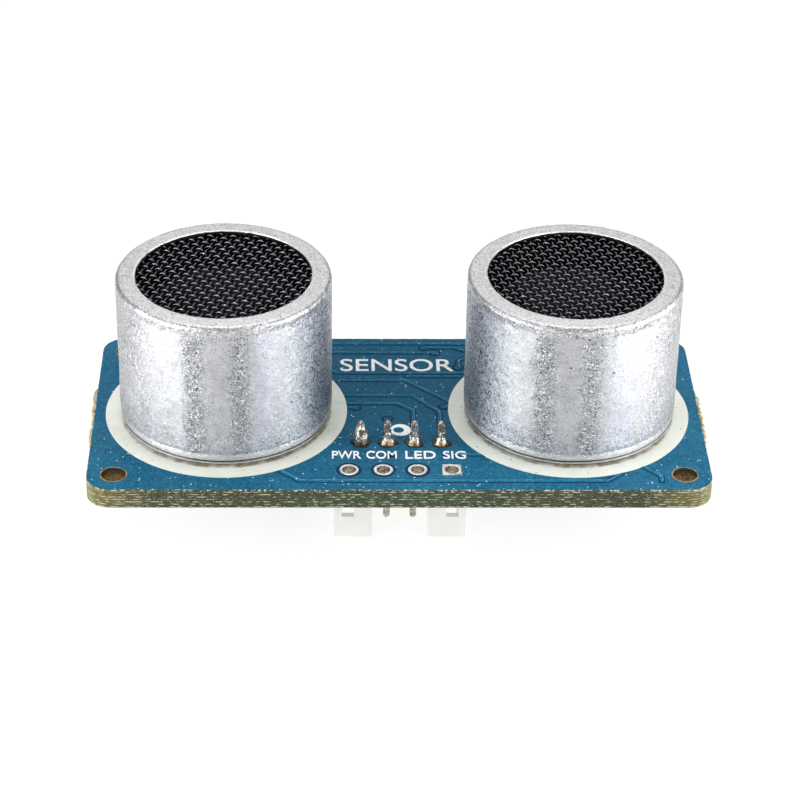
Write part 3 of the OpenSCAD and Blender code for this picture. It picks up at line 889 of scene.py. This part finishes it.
def make_tracks(side, tracks, vias):
    """Copper under the mask: raised tracks and vias, each in a darker gap in the copper pour."""
    lines = [clear_of(mm(track), CONTACT_AT + PAD_AT, 0.75 * MM) for track in tracks]
    glint = Vector((0.1, 0.12)) * MM

    def strips(width, height, shift=Vector((0, 0))):
        """Strips along the tracks, stepped a little in height so that no two coincide."""
        return [raised([ribbon([p + shift for p in line], width)], height + GAP_H * (k % 3), side)
                for k, line in enumerate(lines)]

    gaps, rings = [], []
    for x, y in mm(vias):
        ring = [circle(x, y, VIA_R), circle(x, y, 0.11 * MM, 12, hole=True)]
        gaps.append(raised([circle(x, y, VIA_R * 1.6)], GAP_H * 4, side))
        rings.append(raised(ring, TRACK_H * 1.3, side))
    board_piece(f"copper_gaps_{side}", strips(GAP_W, GAP_H) + gaps, "gap")
    # painted highlight: pale strips along one edge of each track
    board_piece(f"track_highlight_strips_{side}", strips(0.09 * MM, TRACK_H + 4 * GAP_H, glint), "edge")
    board_piece(f"copper_tracks_{side}", strips(TRACK_W, TRACK_H) + rings, "track")


def make_pad_gaps(side):
    """Bare rings in the copper pour around the three round header pads."""
    rings = [
        raised([circle(x, y, 0.95 * MM, 40), circle(x, y, 0.7 * MM, hole=True)], GAP_H, side)
        for x, y in PAD_AT[:3]
    ]
    board_piece(f"pad_gaps_{side}", rings, "gap")


def make_hole_lips():
    """Bare laminate round the corner holes, where the mask stops short of the drill."""
    parts = []
    for x, y in HOLE_AT:
        loops = [circle(x, y, HOLE_R + 0.1 * MM), circle(x, y, HOLE_R + 0.01 * MM, hole=True)]
        parts += [raised(loops, 0.02 * MM, side) for side in ("top", "under")]
    board_piece("board_hole_lips", parts, "bare")


def lettering(name, text, x_span, y_span, boldness):
    """White printed capitals, stretched to fill a box given in millimetres."""
    font = bpy.data.curves.new(name, "FONT")
    font.body = text
    font.offset = boldness
    font.extrude = 0.01
    shape = placed(name, font)
    bpy.context.view_layer.update()
    mesh = bpy.data.meshes.new_from_object(shape.evaluated_get(bpy.context.evaluated_depsgraph_get()))
    bpy.data.objects.remove(shape)
    mesh.name = name
    low = [min(v.co[i] for v in mesh.vertices) for i in range(3)]
    high = [max(v.co[i] for v in mesh.vertices) for i in range(3)]
    box = mm([x_span, y_span]) + [(BOARD_TOP - 0.05 * PRINT_H, BOARD_TOP + PRINT_H)]
    for v in mesh.vertices:
        v.co = [box[i][0] + (box[i][1] - box[i][0]) * (v.co[i] - low[i]) / (high[i] - low[i])
                for i in range(3)]
    mesh.materials.append(MAT["print"])
    adopt(placed(name, mesh), "light_disc", "circuit_board")


PIN_WORDS = {"PWR": (-5.0, -2.85), "COM": (-2.45, -0.2), "LED": (0.45, 2.7), "SIG": (3.25, 4.95)}
OUTLINE_MARGINS = {"controller_body": 0.3, "amplifier_body": 0.3, "driver_body": 0.3, "crystal_base": 0.3,
                   "transistor_body": 0.7, "bulk_capacitor": 0.35}


def part_outline(node, margin):
    """A printed frame round a part on the underside, open at one side, and a dot at its corner."""
    low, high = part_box(node)
    x0, x1 = low.x - margin * MM, high.x + margin * MM
    y0, y1 = low.y - margin * MM, high.y + margin * MM
    open_end = 0.5 * MM
    corners = [(x0, y0 + open_end), (x0, y0), (x1, y0), (x1, y1), (x0, y1), (x0, y1 - open_end)]
    dot = circle(x0 - 0.35 * MM, y0 + 0.3 * MM, 0.14 * MM, 16)
    return [raised([loop], PRINT_H, "under") for loop in (ribbon(corners, 0.15 * MM), dot)]


def make_print():
    """Printed words and marks on the upper side, and part outlines on the underside."""
    lettering("print_title", "SENSOR", (-4.35, 4.5), (5.7, 7.5), 0.006)
    for word, x_span in PIN_WORDS.items():
        lettering(f"print_{word.lower()}", word, x_span, (-6.62, -5.62), 0.008)
    ring = [circle(0.15 * MM, -2.7 * MM, 0.8 * MM), circle(0.02 * MM, -2.7 * MM, 0.4 * MM, 24, hole=True)]
    board_piece("print_ring", [raised(ring, PRINT_H, "top")], "print", slot="light_disc")
    frames = [strip for item in OUTLINE_MARGINS.items() for strip in part_outline(*item)]
    board_piece("print_outlines", frames, "print", slot="light_disc")


def make_pads():
    """Four plated header pads with a barrel through the board, the last one square on top."""
    low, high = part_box("header_pads")
    half, lip, sunk = (high.y - low.y) / 2, 0.05 * MM, 0.01 * MM
    barrel_r = PAD_HOLE_R + 0.12 * MM
    lower = [(low.z, lip), (low.z + lip, 0.0), (sunk, 0.0)]
    upper = [(BOARD_TOP - sunk, 0.0), (high.z - 0.4 * lip, 0.0), (high.z, lip)]
    barrel = [(PAD_HOLE_R, 0.0), (barrel_r, 0.0), (barrel_r, BOARD_TOP), (PAD_HOLE_R, BOARD_TOP)]
    parts = []
    for x, y in PAD_AT:
        bore, disc = circle(x, y, PAD_HOLE_R, hole=True), circle(x, y, half, 40)
        square = [(x - half, y - half), (x + half, y - half), (x + half, y + half), (x - half, y + half)]
        top = square if (x, y) == PAD_AT[-1] else disc
        parts += [slab([disc, bore], lower), slab([top, bore], upper), lathe(barrel, 32, (x, y))]

    def paint(centre, normal):
        return 1 if abs(normal.z) < 0.5 and near(centre, PAD_AT, PAD_HOLE_R + 0.03 * MM) else 0

    board_piece("header_pad_rings", parts, "tinned", "barrel", paint=paint, slot="tinned",
                node="header_pads")


# ---- transducers ----

def arc(r, z, radius, start, end):
    """Points (r, z) on an arc round a centre, between two angles in degrees."""
    angles = [math.radians(a) for a in spread(start, end, 6)]
    return [(r + radius * math.cos(a), z + radius * math.sin(a)) for a in angles]


def can_profile(low, high, radius):
    """The cup's (r, z) outline: flange and bead at the foot, wall, worn edge, rim, lip, inside."""
    flange, bulge, crease = radius - 0.1 * MM, radius - 0.03 * MM, radius - 0.07 * MM
    bead_r, edge_r, rim_low, wall_high = 0.3 * MM, 0.4 * MM, high - 0.24 * MM, high - 1.3 * MM
    outline = [(CAN_INNER, low + 0.1 * MM), (radius - 0.5 * MM, low), (radius - 0.14 * MM, low),
               (flange, low + 0.04 * MM), (flange, low + 0.12 * MM)]
    outline += arc(bulge - bead_r, low + 0.19 * MM + bead_r, bead_r, -70, 0)
    outline += [(bulge, low + 0.73 * MM), (crease, low + 0.83 * MM), (crease, low + 0.89 * MM),
                (radius - 0.01 * MM, low + 1.01 * MM)]
    outline += [(radius, z) for z in spread(low + 1.15 * MM, wall_high, 30)]
    outline += [(radius, z) for z in spread(wall_high, high - edge_r, 7)[1:-1]]
    outline += arc(radius - edge_r, high - edge_r, edge_r, 0, 90)
    outline += [(r, high) for r in spread(radius - edge_r, CAN_OPENING, 6)[1:-1]]
    outline += [(CAN_OPENING + 0.07 * MM, high), (CAN_OPENING + 0.02 * MM, high - 0.03 * MM),
                (CAN_OPENING, high - 0.07 * MM), (CAN_OPENING, rim_low), (CAN_INNER, rim_low)]
    return outline


def can_dents(centre, top, shift):
    """A warp that dents the wall, chips the top edge and frays the lip."""
    def warp(point, angle):
        out = heading(angle)
        r, down = (point - centre).xy.length, top - point.z
        if r < CAN_OPENING + 0.3 * MM:
            return point + out * abs(lumps(point, 0.4, shift)) * 0.08 * MM
        if r < CAN_INNER:
            return point
        depth = max(0.0, lumps(point, 2.2, shift) - 0.15) * 0.07
        depth += max(0.0, lumps(point, 0.7, shift) - 0.1) * 0.03
        if 0.05 * MM < down < 0.75 * MM:
            chip = lumps(point, 0.35, shift) + 0.6 * lumps(point, 0.16, shift)
            depth += max(0.0, chip - 0.05) * 0.045
        return point - out * depth * MM

    return warp


def can_paint(centre, top, shift):
    """Tells skin 0, rim 1, worn edge 2 and inside 3 apart on the can."""
    def paint(at, normal):
        r, down = (at - centre).xy.length, top - at.z
        if r < CAN_INNER + 0.05 * MM and down > 0.11 * MM:
            return 3
        if r < CAN_OPENING + 0.1 * MM or (normal.z > 0.85 and down < 0.06 * MM):
            return 1
        ragged = lumps(at, 0.5, shift) * 0.22 * MM
        return 2 if down < 0.8 * MM - ragged and r > CAN_INNER + 0.2 * MM else 0

    return paint


def make_can(eye):
    """One aluminium can. The two take their dents from different stretches of noise."""
    node = f"{eye}_can"
    low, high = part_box(node)
    centre = middle(node)
    shift = Vector((7.0 if eye == "receiver" else 0.0, 0.0, 0.0))
    profile = can_profile(low.z, high.z, (high.x - low.x) / 2)
    shape = lathe(profile, 256, centre, warp=can_dents(centre, high.z, shift))
    skins, paint = ["can", "rim", "worn", "can_inside"], can_paint(centre, high.z, shift)
    adopt(crisp(solid(f"{eye}_can_shell", shape, skins, paint), 50), "can_aluminium", node)


WEAVE_PITCH = 0.55 * MM
WIRE_R = 0.055 * MM
WIRE_SIDES = 6
WIRE_RINGS = 6


def bent_wire(centre, along, across, half, crimp):
    """A wire of the cloth, half its length either way, that bends over and under as it goes."""
    rings = int(2 * half / WEAVE_PITCH * WIRE_RINGS)
    if rings < 4:
        return [], []
    verts, faces = [], []
    for s in spread(-half, half, rings):
        phase = math.pi * s / WEAVE_PITCH
        spot = centre + along * s + Vector((0, 0, math.cos(phase) * crimp))
        slope = -math.sin(phase) * math.pi / WEAVE_PITCH * crimp
        up = (Vector((0, 0, 1)) - along * slope).normalized()
        for j in range(WIRE_SIDES):
            a = 2 * math.pi * j / WIRE_SIDES
            verts.append(spot + (across * math.cos(a) + up * math.sin(a)) * WIRE_R)
    for k in range(rings):
        for j in range(WIRE_SIDES):
            a, b = k * WIRE_SIDES + j, k * WIRE_SIDES + (j + 1) % WIRE_SIDES
            faces.append((a, b, b + WIRE_SIDES, a + WIRE_SIDES))
    ends = list(range(WIRE_SIDES))
    return verts, faces + [tuple(ends[::-1]), tuple(rings * WIRE_SIDES + j for j in ends)]


def make_screen(eye, turn):
    """Plain woven wire cloth: two crossed sets of bent wires, turned by an angle in degrees."""
    node = f"{eye}_screen"
    centre, radius = middle(node), size(node).x / 2 - 0.05 * MM
    centre.z = SCREEN_Z
    count = int(radius / WEAVE_PITCH)
    weave = random.Random(eye)
    wires = []
    # the second set's shallower crimp keeps its wires below the painted crown highlight, so they read
    # darker as painted shade
    for family, crimp in enumerate((0.14 * MM, 0.06 * MM)):
        along = heading(math.radians(turn + 90 * family))
        across = Vector((-along.y, along.x, 0))
        for row in range(-count, count + 1):
            off = row * WEAVE_PITCH + weave.uniform(-0.02, 0.02) * MM
            half = math.sqrt(max(0.0, radius ** 2 - off ** 2))
            bend = crimp * (-1) ** (row + family)
            wires.append(bent_wire(centre + across * off, along, across, half, bend))
    adopt(solid(f"{eye}_wire_cloth", joined(wires), ["wire"]), "screen", node)


# ---- solder and pins ----

def lumpy(seed, amount, grain):
    """A warp that pushes points in and out by up to an amount."""
    shift = Vector((seed * 3.1, seed * 1.7, 0.0))

    def warp(point, angle):
        return point + heading(angle, 0.25) * lumps(point, grain, shift) * amount

    return warp


def make_contact_joint(number):
    """A solder joint on top of the board. The first hides its pin in a cone, the others are fillets."""
    node = f"contact_joint_{number}"
    low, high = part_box(node)
    foot, tall, cone = (high.x - low.x) / 2 * 0.82, high.z - low.z, number == 1
    tip = (0.2 if cone else 0.3) * MM
    outline = [(0.0, 0.0)]
    for t in spread(0, 1, 16):
        if cone:
            outline.append((min(foot, foot * (1 - t ** 1.35) + tip * t), 0.97 * t))
        else:
            outline.append((tip + (foot - tip) * (1 - t) ** 2.1, t))
    outline.append((0.0, 1.0 if cone else 0.98))
    if cone:
        tall -= 0.2 * MM
    profile = [(r, low.z + tall * t) for r, t in outline]
    shape = lathe(profile, 28, middle(node), warp=lumpy(number, 0.07 * MM, 0.4), closed=False)
    adopt(solid(f"contact_solder_{number}", shape, ["solder"]), "solder", node)


def puddle(x, y, lobes):
    """A warp that gives a round blob an uneven edge."""
    def warp(point, angle):
        swell = sum(math.cos((i + 2) * angle + lobe) for i, lobe in enumerate(lobes)) * 0.07
        return point + Vector((point.x - x, point.y - y, 0)) * swell

    return warp


def make_flux():
    """Glazed flux that has crept out from under the joints."""
    sunk = 0.01 * MM
    outline = mm([(0.0, 0.0), (0.74, 0.0), (0.72, 0.02), (0.66, 0.05), (0.6, 0.07), (0.0, 0.07)])
    profile = [(r, BOARD_TOP - sunk + z) for r, z in outline]
    parts = []
    for number, (x, y) in enumerate(CONTACT_AT, start=1):
        creep = random.Random(number)
        lobes = [creep.uniform(0, 2 * math.pi) for _ in range(3)]
        parts.append(lathe(profile, 36, (x, y), warp=puddle(x, y, lobes), closed=False))
    nodes = [f"contact_joint_{i}" for i in range(1, 5)]
    adopt(solid("contact_flux", joined(parts), ["flux"]), "solder", *nodes)


def make_terminal_joints(eye):
    """The two solder fillets of a transducer, under the board."""
    low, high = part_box(f"{eye}_joints")
    foot, tall, neck = (high.y - low.y) / 2, high.z - low.z, TERMINAL_R * 0.9
    profile = [(neck + (foot - neck) * (1 - t) ** 2, high.z - tall * t) for t in spread(0, 1, 12)]
    profile = [(0.0, high.z)] + profile + [(0.0, low.z)]
    parts = []
    for number, x in enumerate((low.x + foot, high.x - foot), start=1):
        warp = lumpy(number + len(eye), 0.05 * MM, 0.5)
        parts.append(lathe(profile, 28, (x, 0.0), warp=warp, closed=False))
    adopt(solid(f"{eye}_solder", joined(parts), ["tinned"]), "solder", f"{eye}_joints")


# ---- stage ----

CAMERA_AT = Vector((-5.19, -172.41, 111.41)) * MM
CAMERA_PITCH, CAMERA_YAW, CAMERA_ROLL = (math.radians(a) for a in (32.25, 1.78, 1.03))
FOCAL_LENGTH = 120.8


def make_camera():
    camera = bpy.data.cameras.new("camera")
    camera.lens = FOCAL_LENGTH
    camera.clip_start = 0.01
    holder = placed("camera", camera)
    turn = (Matrix.Rotation(-CAMERA_YAW, 4, "Z") @ Matrix.Rotation(math.pi / 2 - CAMERA_PITCH, 4, "X")
            @ Matrix.Rotation(CAMERA_ROLL, 4, "Z"))
    holder.matrix_world = Matrix.Translation(CAMERA_AT) @ turn
    bpy.context.scene.camera = holder


def panel(name, at, toward, width, height, radiance):
    """A soft rectangular light of the given brightness, placed in millimetres."""
    lamp = bpy.data.lights.new(name, "AREA")
    lamp.shape = "RECTANGLE"
    lamp.size, lamp.size_y = width * MM, height * MM
    lamp.energy = radiance * math.pi * lamp.size * lamp.size_y
    holder = placed(name, lamp)
    aim = (Vector(toward) - Vector(at)).to_track_quat("-Z", "Y").to_matrix().to_4x4()
    holder.matrix_world = Matrix.Translation(Vector(at) * MM) @ aim
    holder.visible_camera = False


def make_lights():
    panel("light_left", (-97, -52, 36), (-13, -8, 8), 115, 84, 4.8)
    panel("light_right", (99, -39, 36), (13, -8, 8), 128, 84, 4.8)
    panel("light_front", (0, -240, 50), (0, -8, 8), 190, 130, 0.3)
    panel("light_above", (0, 10, 190), (0, 0, 0), 240, 200, 1.5)
    panel("light_behind", (0, 230, 150), (0, 0, 5), 360, 160, 1.0)
    world = bpy.data.worlds.new("studio")
    world.use_nodes = True
    world.node_tree.nodes["Background"].inputs["Color"].default_value = (1, 1, 1, 1)
    world.node_tree.nodes["Background"].inputs["Strength"].default_value = 0.22
    bpy.context.scene.world = world
    bpy.context.scene.view_settings.view_transform = "Standard"


def make_floor():
    """A lit white table under the plug header, so that shadows on it stay faint."""
    f = Finish("floor_white", Emission_Color=(1, 1, 1, 1), Emission_Strength=0.82, Specular_IOR_Level=0.1)
    f.drive("Base Color", f.mix(f.noise(40, 2), (0.24, 0.24, 0.24, 1), (0.26, 0.26, 0.26, 1)))
    f.shine(5, 0.8, 0.9)
    f.grit(0.6, 0.01)
    MAT["floor"] = f.material
    half, steps, drop = 4.0, 8, 0.02 * MM
    ticks, row = spread(-half, half, steps), steps + 1
    verts = [(x, y, cad_low.z - drop) for x in ticks for y in ticks]
    corners = [i * row + j for i in range(steps) for j in range(steps)]
    faces = [(k, k + row, k + row + 1, k + 1) for k in corners]
    solid("floor", (verts, faces), ["floor"])


# ---- everything, in order ----

make_camera()
make_lights()
make_floor()

make_board_core()
make_mask("top")
make_mask("under")
make_torn_fibres()
make_tracks("top", TOP_TRACKS, TOP_VIAS)
make_tracks("under", UNDER_TRACKS, UNDER_VIAS)
make_pad_gaps("top")
make_pad_gaps("under")
make_hole_lips()
make_print()
make_pads()

for eye, turn in (("transmitter", -20), ("receiver", 8)):
    make_can(eye)
    make_screen(eye, turn)
    make_terminal_joints(eye)

for i in range(1, 5):
    make_contact_joint(i)
    softened(f"contact_bar_{i}", f"contact_pin_{i}", "tinned", "pin", 0.03)
make_flux()
softened("plug_shroud", "connector_housing", "header_nylon", "nylon", 0.1)

for name in ("controller", "amplifier", "driver"):
    softened(f"{name}_case", f"{name}_body", "chip_epoxy", "epoxy", 0.07)
    softened(f"{name}_legs", f"{name}_leads", "tinned", "tinned", 0.03)
softened("transistor_case", "transistor_body", "chip_epoxy", "epoxy", 0.06)
softened("transistor_legs", "transistor_leads", "tinned", "tinned", 0.03)
softened("crystal_tray", "crystal_base", "crystal_ceramic", "crystal", 0.06)
softened("crystal_cover", "crystal_lid", "tinned", "tinned", 0.05)
softened("bulk_capacitor_case", "bulk_capacitor", "bulk_body", "bulk", 0.08)
softened("bulk_capacitor_caps", "bulk_capacitor_ends", "tinned", "tinned", 0.06)
softened("resistor_cases", "resistor_bodies", "resistor_body", "resistor", 0.03)
softened("resistor_caps", "resistor_ends", "tinned", "tinned", 0.04)
softened("capacitor_cases", "capacitor_bodies", "capacitor_body", "capacitor", 0.05)
softened("capacitor_caps", "capacitor_ends", "tinned", "tinned", 0.05)
softened("led_contacts", "led_terminals", "tinned", "tinned", 0.03)
for i in range(1, 7):
    softened(f"led_case_{i}", f"led_housing_{i}", "led_housing", "led_white", 0.06)

KEPT = {"light_disc_left": "disc", "light_disc_right": "disc", "led_lenses": "led_gel"}
for eye in EYES:
    KEPT.update({
        f"{eye}_horn": "aluminium", f"{eye}_plate": "brass", f"{eye}_piezo": "ceramic",
        f"{eye}_adhesive": "silicone", f"{eye}_base": "moulding", f"{eye}_leads": "red_wire",
        f"{eye}_pins": "tinned",
    })
for node, material in KEPT.items():
    mesh = frame["nodes"][node].data
    mesh.materials.clear()
    mesh.materials.append(MAT[material])
